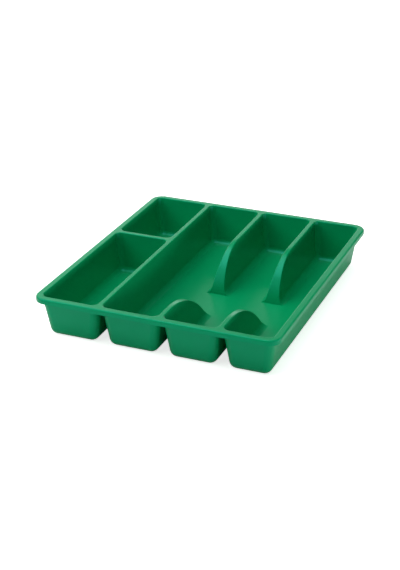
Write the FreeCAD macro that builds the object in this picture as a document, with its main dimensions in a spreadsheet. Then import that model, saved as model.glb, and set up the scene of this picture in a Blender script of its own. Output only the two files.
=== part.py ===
"""Cutlery tray: a thin moulding with two closed compartments, three open lanes and a turned-down rim.

Millimetres. The origin is at the centre of the base, +X is the tray's right, +Y its rear and +Z up.
The moulding is one skin of even thickness. Each compartment and lane hangs from the rim as a drafted cup, so
the dividers between them are double walls, hollow beneath and open at the tray's outer side.
"""
import FreeCAD
import Part
import Sketcher
import os

Vector = FreeCAD.Vector

# Driving sizes: name, value in millimetres (degrees for the drafts), meaning
SIZES = (
    ("tray_length", 310, "overall length, front to rear"),
    ("tray_width", 260, "overall width"),
    ("tray_height", 45, "overall height"),
    ("skin", 1.6, "thickness of the moulding"),
    ("draft_angle", 7.5, "lean of the side walls and the dividers' faces"),
    ("end_draft", 9.5, "lean of the tray's front and rear walls"),
    ("rim_width", 7.4, "rim's outer edge to the compartments' top edge"),
    ("lip_height", 5.5, "depth of the rim's turned-down lip"),
    ("rim_round", 2, "rounding of the rim's outer top edge"),
    ("rim_corner", 14, "plan radius of the rim's corners"),
    ("edge_round", 1.2, "rounding of the compartments' and dividers' top edges"),
    ("floor_round", 6.5, "radius between floor and walls"),
    ("pocket_corner", 0.5, "how much wider than the floor's round the upright corners are rounded"),
    ("divider_width", 5.1, "width of a divider at its top, before rounding"),
    ("left_column", 61.3, "top width of the two left compartments"),
    ("left_lane_width", 60.4, "top width of the left lane"),
    ("middle_lane_width", 57.3, "top width of the middle lane"),
    ("rear_left_length", 110.3, "top length of the rear left compartment"),
    ("rear_level", 85, "level top of a rear divider, from the rear wall"),
    ("rear_radius", 56, "curve of a rear divider down to the floor"),
    ("front_level", 22.6, "level top of a front divider, from the front wall"),
    ("front_radius", 100, "curve of a front divider down to the floor"),
    ("land", 1, "flat strip kept between a rounding and the next section"),
    ("overshoot", 2, "how far a cutting shape passes the face that it cuts"),
)

# Sizes worked out from the driving ones
SLOPE = "tan(Sizes.draft_angle)"
LEVEL_SKIN = "(Sizes.skin / cos(Sizes.draft_angle))"
MOUTH_X = "(Sizes.tray_width / 2 - Sizes.rim_width)"
MOUTH_Y = "(Sizes.tray_length / 2 - Sizes.rim_width)"
LEFT_LANE_X = f"(Sizes.left_column + Sizes.divider_width - {MOUTH_X})"
MIDDLE_LANE_X = f"({LEFT_LANE_X} + Sizes.left_lane_width + Sizes.divider_width)"
RIGHT_LANE_X = f"({MIDDLE_LANE_X} + Sizes.middle_lane_width + Sizes.divider_width)"
RIGHT_LANE_WIDTH = f"({MOUTH_X} - {RIGHT_LANE_X})"
FRONT_LEFT_LENGTH = f"(2 * {MOUTH_Y} - Sizes.rear_left_length - Sizes.divider_width)"

# Compartments by their top outline: left edge, width, front edge, length
COMPARTMENTS = {
    "rear_left_compartment": (
        f"(-{MOUTH_X})",
        "Sizes.left_column",
        f"({MOUTH_Y} - Sizes.rear_left_length)",
        "Sizes.rear_left_length",
    ),
    "front_left_compartment": (f"(-{MOUTH_X})", "Sizes.left_column", f"(-{MOUTH_Y})", FRONT_LEFT_LENGTH),
    "left_lane": (LEFT_LANE_X, "Sizes.left_lane_width", f"(-{MOUTH_Y})", f"(2 * {MOUTH_Y})"),
    "middle_lane": (MIDDLE_LANE_X, "Sizes.middle_lane_width", f"(-{MOUTH_Y})", f"(2 * {MOUTH_Y})"),
    "right_lane": (RIGHT_LANE_X, RIGHT_LANE_WIDTH, f"(-{MOUTH_Y})", f"(2 * {MOUTH_Y})"),
}

# Ends of a compartment that are the tray's own front (-1) or rear (1) wall
OUTER_ENDS = {
    "rear_left_compartment": (1,),
    "front_left_compartment": (-1,),
    "left_lane": (-1, 1),
    "middle_lane": (-1, 1),
    "right_lane": (-1, 1),
}

# A divider's section: its foot curves out to the floor and ends in a flat flange
HALF_TOP = "(Sizes.divider_width / 2)"
HALF_BASE = f"({HALF_TOP} + Sizes.tray_height * {SLOPE})"
TOE = (
    f"({HALF_TOP} + (Sizes.tray_height - Sizes.skin - Sizes.floor_round) * {SLOPE}"
    " + Sizes.floor_round / cos(Sizes.draft_angle))"
)
FLANGE = f"({TOE} + Sizes.land)"
OUTER_ROUND = "(Sizes.floor_round + Sizes.skin)"
CORNER = "(Sizes.floor_round + Sizes.pocket_corner)"
OUTER_CORNER = f"({CORNER} + Sizes.skin)"
FOOT_X = f"({TOE} - Sizes.floor_round * cos(Sizes.draft_angle))"
FOOT_Z = "(Sizes.skin + Sizes.floor_round * (1 - sin(Sizes.draft_angle)))"
HOLLOW_FOOT_X = f"({TOE} - {OUTER_ROUND} * cos(Sizes.draft_angle))"
HOLLOW_FOOT_Z = f"({OUTER_ROUND} * (1 - sin(Sizes.draft_angle)))"
HOLLOW_TOP_X = f"({HALF_TOP} + Sizes.skin * {SLOPE} - {LEVEL_SKIN})"
HOLLOW_TOP_Z = "(Sizes.tray_height - Sizes.skin)"

# A divider's section starts where the rounded corners of the end wall are past
JOINT = f"((Sizes.tray_height - Sizes.skin) * tan(Sizes.end_draft) + {CORNER} + Sizes.land)"
JOINT_Y = f"({MOUTH_Y} - {JOINT})"

doc = FreeCAD.newDocument("cutlery_tray")
sheet = doc.addObject("Spreadsheet::Sheet", "Sizes")
for row, (alias, number, meaning) in enumerate(SIZES, start=1):
    sheet.set(f"A{row}", meaning)
    sheet.set(f"B{row}", str(number))
    sheet.setAlias(f"B{row}", alias)
doc.recompute()


def value(expression):
    """The number that an expression of the sheet's sizes has."""
    return float(sheet.evalExpression(expression))


def bind(item, **expressions):
    """Tie an object's properties to expressions; __ in a name stands for a dot."""
    for name, expression in expressions.items():
        item.setExpression(name.replace("__", "."), expression)


def place(item, x="0", y="0", z="0"):
    """Tie an object's position to expressions."""
    bind(item, Placement__Base__x=x, Placement__Base__y=y, Placement__Base__z=z)


def arc_between(start, end, radius, turn):
    """Arc of under a half circle from start to end; turn is 1 counter-clockwise and -1 clockwise."""
    chord = end - start
    across = Vector(-chord.y, chord.x, 0).normalize()
    to_centre = (radius**2 - (chord.Length / 2) ** 2) ** 0.5
    centre = (start + end) / 2 + across * to_centre * turn
    middle = centre - across * radius * turn
    return Part.Arc(start, middle, end)


def outline(body, plane, corners):
    """Closed sketch on one of the body's origin planes.

    A corner is (x, y), and the side that ends there is straight; or (x, y, radius, turn), and it is an arc.
    Every corner is held by its distances from the body's axes.
    """
    sketch = body.newObject("Sketcher::SketchObject", f"{body.Name}_{plane}_outline")
    base = next(feature for feature in body.Origin.OriginFeatures if feature.Role == plane)
    sketch.AttachmentSupport = (base, [""])
    sketch.MapMode = "FlatFace"
    points = [Vector(value(corner[0]), value(corner[1]), 0) for corner in corners]
    tips = []
    for index, corner in enumerate(corners):
        start, end = points[index - 1], points[index]
        if len(corner) == 2:
            side = sketch.addGeometry(Part.LineSegment(start, end))
        else:
            side = sketch.addGeometry(arc_between(start, end, value(corner[2]), corner[3]))
        last = min((1, 2), key=lambda tip: sketch.getPoint(side, tip).distanceToPoint(end))
        tips.append((side, 3 - last, last))
    for index, corner in enumerate(corners):
        side, _, last = tips[index]
        following, first, _ = tips[(index + 1) % len(corners)]
        sketch.addConstraint(Sketcher.Constraint("Coincident", side, last, following, first))
        for kind, axis, expression, number in (
            ("DistanceX", -2, corner[0], points[index].x),
            ("DistanceY", -1, corner[1], points[index].y),
        ):
            if expression == "0":
                sketch.addConstraint(Sketcher.Constraint("PointOnObject", side, last, axis))
            else:
                held = sketch.addConstraint(Sketcher.Constraint(kind, -1, 1, side, last, number))
                sketch.setExpression(f"Constraints[{held}]", expression)
        if len(corner) > 2:
            held = sketch.addConstraint(Sketcher.Constraint("Radius", side, value(corner[2])))
            sketch.setExpression(f"Constraints[{held}]", corner[2])
    return sketch


def rectangle(body, width, length):
    """Sketch of a level rectangle about the body's origin."""
    x, y = f"({width}) / 2", f"({length}) / 2"
    corners = ((f"-({x})", f"-({y})"), (x, f"-({y})"), (x, y), (f"-({x})", y))
    return outline(body, "XY_Plane", corners)


def add(body, kind, name, **settings):
    """New feature of a body, with its plain settings."""
    feature = body.newObject(f"PartDesign::{kind}", f"{body.Name}_{name}")
    for key, setting in settings.items():
        setattr(feature, key, setting)
    return feature


def faces_where(shape, test):
    """Names of the faces that pass a test."""
    return [f"Face{index}" for index, face in enumerate(shape.Faces, start=1) if test(face)]


def edges_where(shape, test):
    """Names of the edges that pass a test."""
    return [f"Edge{index}" for index, edge in enumerate(shape.Edges, start=1) if test(edge)]


def low_and_high(item):
    """Lowest and highest corner of a face or an edge, along Z."""
    heights = [vertex.Z for vertex in item.Vertexes]
    return min(heights), max(heights)


def round_edges(body, name, radius, test):
    """Round the edges of the body that pass a test of their lowest and highest corner."""
    doc.recompute()
    base = body.Tip
    edges = edges_where(base.Shape, lambda edge: test(*low_and_high(edge)))
    rounding = add(body, "Fillet", name, Base=(base, edges))
    bind(rounding, Radius=radius)
    return rounding


NEAR = 0.001


def lean(body, name, angle, test):
    """Lean the upright faces that pass a test inward from the body's top."""
    doc.recompute()
    base = body.Tip

    def upright(face):
        low, high = low_and_high(face)
        return high - low > NEAR

    walls = faces_where(base.Shape, lambda face: upright(face) and test(face))
    top = faces_where(base.Shape, lambda face: low_and_high(face)[0] > -NEAR)
    draft = add(body, "Draft", name, Base=(base, walls), NeutralPlane=(base, top), Reversed=True)
    bind(draft, Angle=angle)


def drafted_block(name, compartment, outward, corner, depth):
    """A compartment's space from the rim's level down, with leaning walls and rounded corners.

    Its walls are moved outward from the compartment's outline.
    """
    _, width, _, length = COMPARTMENTS[compartment]
    body = doc.addObject("PartDesign::Body", name)
    mouth = rectangle(body, f"{width} + 2 * {outward}", f"{length} + 2 * {outward}")
    pad = add(body, "Pad", "pad", Profile=mouth, Reversed=True)
    bind(pad, Length=depth)

    def at_outer_end(face):
        middle = face.CenterOfMass
        end = 1 if middle.y > 0 else -1
        return abs(middle.y) > abs(middle.x) and end in OUTER_ENDS[compartment]

    lean(body, "side_draft", "Sizes.draft_angle", lambda face: not at_outer_end(face))
    lean(body, "end_draft", "Sizes.end_draft", at_outer_end)
    round_edges(body, "corners", corner, lambda low, high: high - low > NEAR)
    return body


def place_at_mouth(body, compartment):
    """Put a drafted block's origin at the middle of its compartment's mouth."""
    left, width, front, length = COMPARTMENTS[compartment]
    place(body, f"{left} + {width} / 2", f"{front} + {length} / 2", "Sizes.tray_height")


def round_bottom(body, depth, radius):
    """Round the bottom outline of a drafted block."""
    bottom = NEAR - value(depth)
    return round_edges(body, "bottom", radius, lambda low, high: high < bottom)


def cup(name):
    """A compartment's floor and walls: a block less the space inside it, with the mouth's edge rounded."""
    body = drafted_block(f"{name}_cup", name, LEVEL_SKIN, OUTER_CORNER, "Sizes.tray_height")
    place_at_mouth(body, name)
    round_bottom(body, "Sizes.tray_height", OUTER_ROUND)
    space = drafted_block(f"{name}_space", name, "0", CORNER, HOLLOW_TOP_Z)
    round_bottom(space, HOLLOW_TOP_Z, "Sizes.floor_round")
    shell = add(body, "Boolean", "skin", Type="Cut")
    shell.setObjects([space])
    doc.recompute()
    ring = next(face for face in shell.Shape.Faces if low_and_high(face)[0] > -NEAR)
    mouth = min(ring.Wires, key=lambda wire: wire.Length)
    edges = edges_where(shell.Shape, lambda edge: any(edge.isSame(other) for other in mouth.Edges))
    rounding = add(body, "Fillet", "mouth", Base=(shell, edges))
    bind(rounding, Radius="Sizes.edge_round")
    return body


def box(name, x_low, x_high, y_low, y_high, z_low, z_high):
    """A plain block between six planes."""
    block = doc.addObject("Part::Box", name)
    bind(block, Length=f"{x_high} - {x_low}", Width=f"{y_high} - {y_low}", Height=f"{z_high} - {z_low}")
    place(block, x_low, y_low, z_low)
    return block


def cut(name, base, tools):
    """What is left of a shape outside some others."""
    gathered = doc.addObject("Part::Compound", f"{name}_tools")
    gathered.Links = tools
    result = doc.addObject("Part::Cut", name)
    result.Base = base
    result.Tool = gathered
    return result


def fuse(name, shapes):
    """Several shapes that share faces, as one solid."""
    result = doc.addObject("Part::MultiFuse", name)
    result.Shapes = shapes
    result.Refine = True
    return result


def extend(body, profile, reach):
    """Pad a section along the divider, from its joint towards the middle of the tray."""
    pad = add(body, "Pad", "pad", Profile=profile, Reversed=True)
    bind(pad, Length=reach)
    return pad


def curve_down(body, start, radius, top, bottom, reach):
    """Cut away everything in front of a divider's curved end, above one height.

    The curve leaves the level top at start and falls on an arc about a point straight below.
    """
    foot = f"({start} + sqrt({radius} ^ 2 - ({bottom} - {top} + {radius}) ^ 2))"
    beyond = f"({reach} + Sizes.overshoot)"
    above = f"({top} + Sizes.overshoot)"
    corners = (
        (start, top),
        (foot, bottom, radius, -1),
        (beyond, bottom),
        (beyond, above),
        (start, above),
    )
    doc.recompute()
    before = body.Shape.Volume
    pocket = add(body, "Pocket", "curve", Profile=outline(body, "YZ_Plane", corners), Type="ThroughAll")
    pocket.SideType = "Symmetric"
    doc.recompute()
    assert body.Shape.Volume < before - NEAR, f"{body.Name}: the curve cuts nothing"
    return pocket


def divider(name, x_middle, at_rear, level, radius):
    """A divider that leaves an end wall at full height and curves down to the floor.

    It is a leaning wedge on a flared foot, hollow beneath with an even skin. Its own frame starts at the
    joint with the end wall, on the divider's middle plane, with +Y towards the middle of the tray.
    """
    start = f"({level} - {JOINT})"
    reach = reach_of(level, radius)
    height = "Sizes.tray_height"
    wedge = doc.addObject("PartDesign::Body", f"{name}_wedge")
    foot = doc.addObject("PartDesign::Body", f"{name}_foot")
    hollow = doc.addObject("PartDesign::Body", f"{name}_hollow")
    for body in (wedge, foot, hollow):
        turn = 180 if at_rear else 0
        body.Placement.Rotation = FreeCAD.Rotation(Vector(0, 0, 1), turn)
        place(body, x_middle, JOINT_Y if at_rear else f"-{JOINT_Y}")

    section = (
        (f"-{HALF_BASE}", "0"),
        (HALF_BASE, "0"),
        (HALF_TOP, height),
        (f"-{HALF_TOP}", height),
    )
    extend(wedge, outline(wedge, "XZ_Plane", section), reach)
    curve_down(wedge, start, radius, height, "0", reach)
    top = value(height)
    round_edges(wedge, "edges", "Sizes.edge_round", lambda low, high: high > top - NEAR and low < high - NEAR)

    section = (
        (f"-{FLANGE}", "0"),
        (FLANGE, "0"),
        (FLANGE, "Sizes.skin"),
        (TOE, "Sizes.skin"),
        (FOOT_X, FOOT_Z, "Sizes.floor_round", -1),
        (f"-{FOOT_X}", FOOT_Z),
        (f"-{TOE}", "Sizes.skin", "Sizes.floor_round", -1),
        (f"-{FLANGE}", "Sizes.skin"),
    )
    extend(foot, outline(foot, "XZ_Plane", section), reach)
    curve_down(foot, start, radius, height, "Sizes.skin", reach)

    section = (
        (f"-{TOE}", "-Sizes.overshoot"),
        (TOE, "-Sizes.overshoot"),
        (TOE, "0"),
        (HOLLOW_FOOT_X, HOLLOW_FOOT_Z, OUTER_ROUND, -1),
        (HOLLOW_TOP_X, HOLLOW_TOP_Z),
        (f"-{HOLLOW_TOP_X}", HOLLOW_TOP_Z),
        (f"-{HOLLOW_FOOT_X}", HOLLOW_FOOT_Z),
        (f"-{TOE}", "0", OUTER_ROUND, -1),
    )
    extend(hollow, outline(hollow, "XZ_Plane", section), reach)
    curve_down(hollow, start, f"({radius} - Sizes.skin)", HOLLOW_TOP_Z, "-Sizes.overshoot", reach)
    return cut(name, fuse(f"{name}_solid", [wedge, foot]), [hollow])


def reach_of(level, radius):
    """How far a divider's section runs from its joint: past its foot on the floor by a land."""
    return (
        f"({level} - {JOINT} + Sizes.land"
        f" + sqrt({radius} ^ 2 - (Sizes.skin - Sizes.tray_height + {radius}) ^ 2))"
    )


def rim(zones):
    """The flat rim with its turned-down lip, and the top of the full-length and cross dividers."""
    body = doc.addObject("PartDesign::Body", "rim_lid")
    place(body, z="Sizes.tray_height - Sizes.lip_height")
    pad = add(body, "Pad", "pad", Profile=rectangle(body, "Sizes.tray_width", "Sizes.tray_length"))
    bind(pad, Length="Sizes.lip_height")
    top = value("Sizes.lip_height")
    round_edges(body, "corners", "Sizes.rim_corner", lambda low, high: high - low > NEAR)
    round_edges(body, "outer", "Sizes.rim_round", lambda low, high: low > top - NEAR)
    doc.recompute()
    lid = body.Tip
    underside = faces_where(lid.Shape, lambda face: low_and_high(face)[1] < NEAR)
    shell = add(body, "Thickness", "skin", Base=(lid, underside), Reversed=True, Join="Intersection")
    bind(shell, Value="Sizes.skin")
    mouths = []
    for name in COMPARTMENTS:
        mouth = drafted_block(f"{name}_mouth", name, LEVEL_SKIN, OUTER_CORNER, "Sizes.lip_height")
        place_at_mouth(mouth, name)
        mouths.append(mouth)
    return cut("rim", body, mouths + zones)


def middle_of_divider(lane_on_its_right):
    """X of the divider on a lane's left side."""
    return f"({lane_on_its_right} - {HALF_TOP})"


def check(item):
    """Stop if an object failed or its shape can't be used."""
    if "Invalid" in item.State or "Error" in item.State:
        raise RuntimeError(f"{item.Label}: {item.State}")
    shape = getattr(item, "Shape", None)
    if shape is not None and (shape.isNull() or not shape.isValid()):
        raise RuntimeError(f"{item.Label}: its shape is missing or not valid")


left_x = middle_of_divider(MIDDLE_LANE_X)
right_x = middle_of_divider(RIGHT_LANE_X)
rear_foot_y = f"({JOINT_Y} - {reach_of('Sizes.rear_level', 'Sizes.rear_radius')})"
front_foot_y = f"({reach_of('Sizes.front_level', 'Sizes.front_radius')} - {JOINT_Y})"
zones = []
bridges = []
for side, x_middle in (("left", left_x), ("right", right_x)):
    x_low, x_high = f"({x_middle} - {FLANGE})", f"({x_middle} + {FLANGE})"
    above = "(Sizes.tray_height + Sizes.overshoot)"
    zones.append(box(f"{side}_zone", x_low, x_high, f"(-{JOINT_Y})", JOINT_Y, "(-Sizes.overshoot)", above))
    bridges.append(box(f"{side}_bridge", x_low, x_high, front_foot_y, rear_foot_y, "0", "Sizes.skin"))

nodes = {"rim": rim(zones)}
for name in ("rear_left_compartment", "front_left_compartment"):
    nodes[name] = cup(name)
nodes["left_lane"] = cut("left_lane", cup("left_lane"), zones)
nodes["right_lane"] = cut("right_lane", cup("right_lane"), zones)
middle_ends = cut("middle_lane_ends", cup("middle_lane"), zones)
nodes["middle_lane"] = fuse("middle_lane", [middle_ends] + bridges)
for side, x_middle in (("left", left_x), ("right", right_x)):
    nodes[f"rear_divider_{side}"] = divider(
        f"rear_divider_{side}", x_middle, True, "Sizes.rear_level", "Sizes.rear_radius"
    )
    nodes[f"front_divider_{side}"] = divider(
        f"front_divider_{side}", x_middle, False, "Sizes.front_level", "Sizes.front_radius"
    )

doc.recompute()
for item in doc.Objects:
    check(item)
os.makedirs("parts", exist_ok=True)
for name, item in nodes.items():
    item.Label = name
    item.Shape.exportStep(f"parts/{name}.step")
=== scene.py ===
"""Looks of a moulded cutlery tray: satin green plastic on every section, and a pale studio stage."""
import math

import bmesh
import bpy
from bpy.props import FloatProperty, FloatVectorProperty, PointerProperty
from mathutils import Matrix, Vector


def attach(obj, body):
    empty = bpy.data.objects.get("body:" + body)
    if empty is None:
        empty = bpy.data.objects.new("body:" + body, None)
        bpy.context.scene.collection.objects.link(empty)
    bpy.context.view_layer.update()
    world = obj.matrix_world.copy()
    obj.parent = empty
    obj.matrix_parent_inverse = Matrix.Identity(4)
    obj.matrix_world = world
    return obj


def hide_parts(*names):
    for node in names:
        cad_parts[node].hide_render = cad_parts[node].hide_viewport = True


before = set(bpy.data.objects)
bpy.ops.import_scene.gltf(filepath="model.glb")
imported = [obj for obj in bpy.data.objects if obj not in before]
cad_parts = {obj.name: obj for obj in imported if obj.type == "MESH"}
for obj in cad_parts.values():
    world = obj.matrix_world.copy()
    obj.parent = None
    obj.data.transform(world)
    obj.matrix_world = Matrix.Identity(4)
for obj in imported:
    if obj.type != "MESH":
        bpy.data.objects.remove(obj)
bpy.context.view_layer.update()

bl_info = {
    "name": "Cutlery Tray",
    "version": (1, 0, 0),
    "blender": (4, 5, 0),
    "location": "View3D > Sidebar > Tray",
    "description": "Finishes the sections of a moulded cutlery tray and sets its studio stage",
    "category": "Object",
}

COMPARTMENTS = ("rear_left_compartment", "front_left_compartment")
LANES = ("left_lane", "middle_lane", "right_lane")
DIVIDERS = ("rear_divider_left", "rear_divider_right", "front_divider_left", "front_divider_right")
SMALLEST_EDGE = 1e-6
END_RUN = 0.0013  # length of a divider's end that is made anew, in metres

# Noises of the plastic: detail and roughness
CLOUD_NOISE = (3, 0.55)
WEAR_NOISE = (4, 0.6)
GRAIN_NOISE = (2, 0.5)
WEAR_SHARE = 1 / 3  # width of the wear's lumps as a share of the clouds'
WEAR_SPAN = (0.3, 0.7)  # span of the wear noise that the roughness follows
GRAIN_STRENGTH = 0.5
PLASTIC_IOR = 1.49

PAPER_ROUGHNESS = 0.9
SENSOR_WIDTH = 36  # millimetres
FAR_CLIP = 100  # metres


class TrayPlastic(bpy.types.PropertyGroup):
    """Finish of the moulded plastic."""

    colour: FloatVectorProperty(
        name="Colour",
        description="Main colour of the plastic",
        subtype="COLOR",
        default=(0.0, 0.31, 0.108),
        min=0,
        max=1,
    )
    deep_colour: FloatVectorProperty(
        name="Deep colour",
        description="Colour of the slightly darker clouds in the plastic",
        subtype="COLOR",
        default=(0.0, 0.288, 0.0985),
        min=0,
        max=1,
    )
    cloud_size: FloatProperty(
        name="Cloud size",
        description="Width of the faint clouds of colour",
        unit="LENGTH",
        default=0.045,
        min=0.001,
    )
    roughness: FloatProperty(
        name="Roughness",
        description="Mean roughness of the satin surface",
        subtype="FACTOR",
        default=0.32,
        min=0,
        max=1,
    )
    roughness_spread: FloatProperty(
        name="Roughness spread",
        description="How far the roughness strays from its mean",
        subtype="FACTOR",
        default=0.04,
        min=0,
        max=0.3,
    )
    gloss_tint: FloatVectorProperty(
        name="Gloss tint",
        description="Colour that the plastic gives to what it reflects straight on",
        subtype="COLOR",
        default=(0.1, 1.0, 1.0),
        min=0,
        max=1,
    )
    grain_size: FloatProperty(
        name="Grain size",
        description="Width of the mould's fine grain",
        unit="LENGTH",
        default=0.0007,
        min=0.0001,
    )
    grain_depth: FloatProperty(
        name="Grain depth",
        description="Depth of the mould's fine grain",
        unit="LENGTH",
        default=0.00001,
        min=0,
        precision=6,
    )
    crease_angle: FloatProperty(
        name="Crease angle",
        description="Edges that bend more than this stay sharp",
        subtype="ANGLE",
        default=math.radians(35),
        min=0,
        max=math.pi,
    )


class TrayStage(bpy.types.PropertyGroup):
    """Camera, floor and light."""

    aim: FloatVectorProperty(
        name="Aim",
        description="Point that the camera looks at",
        subtype="XYZ",
        unit="LENGTH",
        default=(-0.01256, -0.02436, 0.0232),
    )
    azimuth: FloatProperty(
        name="Azimuth",
        description="Turn of the camera to the tray's right",
        subtype="ANGLE",
        default=math.radians(22.438),
    )
    elevation: FloatProperty(
        name="Elevation",
        description="Height of the camera above the horizon",
        subtype="ANGLE",
        default=math.radians(24.938),
    )
    distance: FloatProperty(
        name="Distance",
        description="Camera to aim",
        unit="LENGTH",
        default=1.38445,
        min=0.01,
    )
    focal_length: FloatProperty(
        name="Focal length",
        description="Lens of the camera, in millimetres",
        default=82.695,
        min=1,
    )
    framing_shift: FloatProperty(
        name="Framing shift",
        description="Sideways shift of the lens",
        default=0.0184,
        precision=4,
    )
    floor_colour: FloatVectorProperty(
        name="Floor colour",
        description="Colour of the pale floor",
        subtype="COLOR",
        default=(0.93, 0.93, 0.93),
        min=0,
        max=1,
    )
    floor_glow: FloatProperty(
        name="Floor glow",
        description="Light that the floor itself gives off under the tray, which softens the shadow on it",
        default=0.72,
        min=0,
        max=1,
    )
    glow_reach: FloatProperty(
        name="Glow reach",
        description="How far from the tray's middle the floor's glow has risen to plain white",
        unit="LENGTH",
        default=1,
        min=0.01,
    )
    sheet_gap: FloatProperty(
        name="Sheet gap",
        description="How far the sheet that bounces light lies below the floor",
        unit="LENGTH",
        default=0.0005,
        min=0,
    )
    floor_size: FloatProperty(
        name="Floor size",
        description="Side of the floor",
        unit="LENGTH",
        default=14,
        min=1,
    )
    overhead: FloatProperty(
        name="Overhead",
        description="Brightness of the soft box above the tray",
        default=1.94,
        min=0,
    )
    upper_left: FloatProperty(
        name="Upper left",
        description="Brightness of the soft box high on the left",
        default=1.73,
        min=0,
    )
    key: FloatProperty(
        name="Key",
        description="Brightness of the soft box at the front left",
        default=2.62,
        min=0,
    )
    side: FloatProperty(
        name="Side",
        description="Brightness of the soft box at the rear left",
        default=0.46,
        min=0,
    )
    fill: FloatProperty(
        name="Fill",
        description="Brightness of the long, low soft box at the right",
        default=7.78,
        min=0,
    )
    backdrop: FloatProperty(
        name="Backdrop",
        description="Brightness of the long, low soft box behind the tray",
        default=1.31,
        min=0,
    )
    back_strip: FloatProperty(
        name="Back strip",
        description="Brightness of the soft strip above the backdrop",
        default=1.46,
        min=0,
    )


# Soft boxes by the setting that gives their brightness: place, width and height, in metres
SOFT_BOXES = {
    "overhead": ((0, 0, 1.3), 1.4, 1.4),
    "upper_left": ((-0.9, 0, 1.2), 1.4, 1.4),
    "key": ((-1.2, -1.2, 1.1), 1.2, 1.0),
    "side": ((-1.2, 1.2, 1.1), 1.2, 1.0),
    "fill": ((1.5, 0, 0.11), 2.4, 0.2),
    "backdrop": ((-0.65, 1.5, 0.2), 2.4, 0.3),
    "back_strip": ((-0.65, 1.5, 0.5), 2.0, 0.35),
}
LIT_POINT = Vector((0, 0, 0.02))


def node_maker(tree):
    """Function that adds a node to a tree, with its settings and its unlinked values."""

    def make(kind, values=(), **settings):
        node = tree.nodes.new(kind)
        for name, setting in settings.items():
            setattr(node, name, setting)
        for socket, value in dict(values).items():
            node.inputs[socket].default_value = value
        return node

    return make


def noise(make, tree, place, width, kind):
    """Noise whose lumps are about as wide as asked, in the tray's own frame."""
    detail, roughness = kind
    texture = make("ShaderNodeTexNoise", {"Scale": 1 / width, "Detail": detail, "Roughness": roughness})
    tree.links.new(place.outputs["Object"], texture.inputs["Vector"])
    return texture


def satin_plastic():
    """Satin moulded plastic: faint clouds in the colour, uneven sheen and a fine grain."""
    name = "satin_green_plastic"
    material = bpy.data.materials.get(name)
    if material:
        return material
    plastic = bpy.context.scene.tray_plastic
    material = bpy.data.materials.new(name)
    material.use_nodes = True
    tree = material.node_tree
    tree.nodes.clear()
    make = node_maker(tree)
    link = tree.links.new
    place = make("ShaderNodeTexCoord")

    clouds = noise(make, tree, place, plastic.cloud_size, CLOUD_NOISE)
    tint = make("ShaderNodeMix", data_type="RGBA")
    colours = [socket for socket in tint.inputs if socket.type == "RGBA"]
    colours[0].default_value = (*plastic.deep_colour, 1)
    colours[1].default_value = (*plastic.colour, 1)
    link(clouds.outputs["Fac"], tint.inputs["Factor"])

    wear = noise(make, tree, place, plastic.cloud_size * WEAR_SHARE, WEAR_NOISE)
    low, high = plastic.roughness - plastic.roughness_spread, plastic.roughness + plastic.roughness_spread
    least, most = WEAR_SPAN
    sheen = make("ShaderNodeMapRange", {"From Min": least, "From Max": most, "To Min": low, "To Max": high})
    link(wear.outputs["Fac"], sheen.inputs["Value"])

    grain = noise(make, tree, place, plastic.grain_size, GRAIN_NOISE)
    relief = make("ShaderNodeBump", {"Strength": GRAIN_STRENGTH, "Distance": plastic.grain_depth})
    link(grain.outputs["Fac"], relief.inputs["Height"])

    shader = make("ShaderNodeBsdfPrincipled", {"IOR": PLASTIC_IOR, "Specular Tint": (*plastic.gloss_tint, 1)})
    link([socket for socket in tint.outputs if socket.type == "RGBA"][0], shader.inputs["Base Color"])
    link(sheen.outputs["Result"], shader.inputs["Roughness"])
    link(relief.outputs["Normal"], shader.inputs["Normal"])
    output = make("ShaderNodeOutputMaterial")
    link(shader.outputs["BSDF"], output.inputs["Surface"])
    return material


def run_into_wall(shape, node):
    """Carry a divider's straight section on to its end, so that its faces run into the end wall without a groove."""
    way = 1 if node.startswith("rear") else -1
    end = max(vert.co.y * way for vert in shape.verts)
    cut = bmesh.ops.bisect_plane(
        shape,
        geom=[*shape.verts, *shape.edges, *shape.faces],
        plane_co=(0, (end - END_RUN) * way, 0),
        plane_no=(0, way, 0),
        clear_outer=True,
    )["geom_cut"]
    outline = [part for part in cut if isinstance(part, bmesh.types.BMEdge)]
    run = bmesh.ops.extrude_edge_only(shape, edges=outline)["geom"]
    corners = {part for part in run if isinstance(part, bmesh.types.BMVert)}
    bmesh.ops.translate(shape, verts=list(corners), vec=(0, END_RUN * way, 0))
    last = [part for part in run if isinstance(part, bmesh.types.BMEdge) and corners.issuperset(part.verts)]
    bmesh.ops.triangle_fill(shape, edges=last, use_beauty=True)
    bmesh.ops.recalc_face_normals(shape, faces=shape.faces)


def moulded_section(node):
    """Stand a merged copy of a section's mesh in for it, smooth across its roundings and sharp at its creases."""
    limit = bpy.context.scene.tray_plastic.crease_angle
    mesh = bpy.data.meshes.new(f"{node}_skin")
    shape = bmesh.new()
    shape.from_mesh(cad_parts[node].data)
    bmesh.ops.remove_doubles(shape, verts=shape.verts, dist=SMALLEST_EDGE)
    if node in DIVIDERS:
        run_into_wall(shape, node)
    for face in shape.faces:
        face.smooth = True
    for edge in shape.edges:
        edge.smooth = edge.is_manifold and edge.calc_face_angle() < limit
    shape.to_mesh(mesh)
    shape.free()
    mesh.materials.clear()
    mesh.materials.append(satin_plastic())
    piece = bpy.data.objects.new(f"{node}_skin", mesh)
    bpy.context.scene.collection.objects.link(piece)
    weighted = piece.modifiers.new("even_shading", "WEIGHTED_NORMAL")
    weighted.keep_sharp = True
    weighted.mode = "FACE_AREA"
    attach(piece, "root")
    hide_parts(node)


class TRAY_OT_rim(bpy.types.Operator):
    """Finish the rim with its turned-down lip"""

    bl_idname = "tray.rim"
    bl_label = "Rim"

    def execute(self, context):
        moulded_section("rim")
        return {"FINISHED"}


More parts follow.
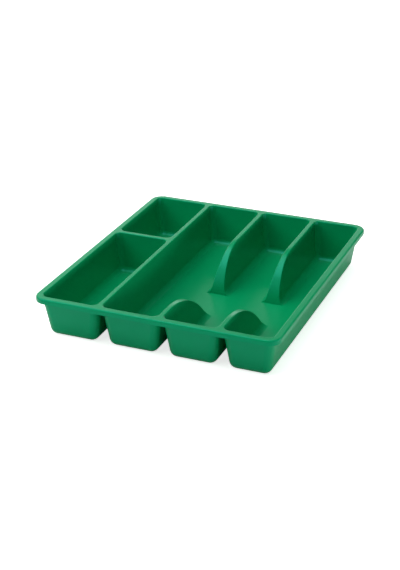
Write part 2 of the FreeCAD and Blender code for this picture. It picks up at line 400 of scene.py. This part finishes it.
class TRAY_OT_compartments(bpy.types.Operator):
    """Finish the closed compartments"""

    bl_idname = "tray.compartments"
    bl_label = "Compartments"

    def execute(self, context):
        for node in COMPARTMENTS:
            moulded_section(node)
        return {"FINISHED"}


class TRAY_OT_lanes(bpy.types.Operator):
    """Finish the open lanes"""

    bl_idname = "tray.lanes"
    bl_label = "Lanes"

    def execute(self, context):
        for node in LANES:
            moulded_section(node)
        return {"FINISHED"}


class TRAY_OT_dividers(bpy.types.Operator):
    """Finish the curved dividers"""

    bl_idname = "tray.dividers"
    bl_label = "Dividers"

    def execute(self, context):
        for node in DIVIDERS:
            moulded_section(node)
        return {"FINISHED"}


class TRAY_OT_stage(bpy.types.Operator):
    """Set the floor, the light and the camera"""

    bl_idname = "tray.stage"
    bl_label = "Stage"

    def execute(self, context):
        stage = context.scene.tray_stage
        self.lay_floor(context, stage)
        self.light(context, stage)
        self.aim_camera(context, stage)
        context.scene.view_settings.view_transform = "Standard"
        return {"FINISHED"}

    def lay_sheet(self, context, stage, name, height):
        """A level sheet of pale paper."""
        half = stage.floor_size / 2
        mesh = bpy.data.meshes.new(name)
        corners = [(-half, -half, height), (half, -half, height), (half, half, height), (-half, half, height)]
        mesh.from_pydata(corners, [], [(0, 1, 2, 3)])
        paper = bpy.data.materials.new(f"{name}_paper")
        paper.use_nodes = True
        shader = paper.node_tree.nodes["Principled BSDF"]
        shader.inputs["Base Color"].default_value = (*stage.floor_colour, 1)
        shader.inputs["Roughness"].default_value = PAPER_ROUGHNESS
        shader.inputs["Specular IOR Level"].default_value = 0
        mesh.materials.append(paper)
        sheet = bpy.data.objects.new(name, mesh)
        context.scene.collection.objects.link(sheet)
        return sheet

    def lay_floor(self, context, stage):
        """The floor that the camera sees, and under it the sheet that throws light back up at the tray."""
        floor = self.lay_sheet(context, stage, "studio_floor", 0)
        floor.visible_diffuse = floor.visible_glossy = floor.visible_shadow = False
        tree = floor.data.materials[0].node_tree
        make = node_maker(tree)
        place = make("ShaderNodeTexCoord")
        radius = make("ShaderNodeVectorMath", operation="LENGTH")
        glow = make("ShaderNodeMapRange", {"From Max": stage.glow_reach, "To Min": stage.floor_glow})
        shader = tree.nodes["Principled BSDF"]
        shader.inputs["Emission Color"].default_value = (1, 1, 1, 1)
        tree.links.new(place.outputs["Object"], radius.inputs["Vector"])
        tree.links.new(radius.outputs["Value"], glow.inputs["Value"])
        tree.links.new(glow.outputs["Result"], shader.inputs["Emission Strength"])
        bounce = self.lay_sheet(context, stage, "bounce_sheet", -stage.sheet_gap)
        bounce.visible_camera = False

    def light(self, context, stage):
        """A surround that is white to the camera and gives no light, and the soft boxes."""
        world = bpy.data.worlds.new("studio_surround")
        world.use_nodes = True
        tree = world.node_tree
        background = tree.nodes["Background"]
        background.inputs["Color"].default_value = (1, 1, 1, 1)
        ray = tree.nodes.new("ShaderNodeLightPath")
        tree.links.new(ray.outputs["Is Camera Ray"], background.inputs["Strength"])
        context.scene.world = world
        for setting, (place, width, height) in SOFT_BOXES.items():
            lamp = bpy.data.lights.new(f"{setting}_box", "AREA")
            lamp.shape = "RECTANGLE"
            lamp.size, lamp.size_y = width, height
            lamp.energy = getattr(stage, setting) * width * height * math.pi
            light = bpy.data.objects.new(f"{setting}_box", lamp)
            aim = (LIT_POINT - Vector(place)).to_track_quat("-Z", "Y")
            light.matrix_world = Matrix.LocRotScale(Vector(place), aim, None)
            context.scene.collection.objects.link(light)

    def aim_camera(self, context, stage):
        """The camera at the photo's angle."""
        turn, rise = stage.azimuth, stage.elevation
        back = Vector((math.sin(turn) * math.cos(rise), -math.cos(turn) * math.cos(rise), math.sin(rise)))
        lens = bpy.data.cameras.new("photo_view")
        lens.sensor_width = SENSOR_WIDTH
        lens.lens = stage.focal_length
        lens.shift_x = stage.framing_shift
        lens.clip_end = FAR_CLIP
        camera = bpy.data.objects.new("photo_view", lens)
        camera.matrix_world = Matrix.LocRotScale(
            Vector(stage.aim) + back * stage.distance, (-back).to_track_quat("-Z", "Y"), None
        )
        context.scene.collection.objects.link(camera)
        context.scene.camera = camera


OPERATORS = (TRAY_OT_rim, TRAY_OT_compartments, TRAY_OT_lanes, TRAY_OT_dividers, TRAY_OT_stage)


class TRAY_PT_panel(bpy.types.Panel):
    """Steps that finish the tray, with their settings"""

    bl_idname = "TRAY_PT_panel"
    bl_label = "Cutlery Tray"
    bl_space_type = "VIEW_3D"
    bl_region_type = "UI"
    bl_category = "Tray"

    def draw(self, context):
        for operator in OPERATORS:
            self.layout.operator(operator.bl_idname)
        for group in (context.scene.tray_plastic, context.scene.tray_stage):
            box = self.layout.box()
            for name in group.__annotations__:
                box.prop(group, name)


CLASSES = (TrayPlastic, TrayStage, *OPERATORS, TRAY_PT_panel)


def register():
    for cls in CLASSES:
        bpy.utils.register_class(cls)
    bpy.types.Scene.tray_plastic = PointerProperty(type=TrayPlastic)
    bpy.types.Scene.tray_stage = PointerProperty(type=TrayStage)


def unregister():
    del bpy.types.Scene.tray_stage
    del bpy.types.Scene.tray_plastic
    for cls in reversed(CLASSES):
        bpy.utils.unregister_class(cls)


def main():
    register()
    bpy.ops.tray.rim()
    bpy.ops.tray.compartments()
    bpy.ops.tray.lanes()
    bpy.ops.tray.dividers()
    bpy.ops.tray.stage()


if __name__ == "__main__":
    main()
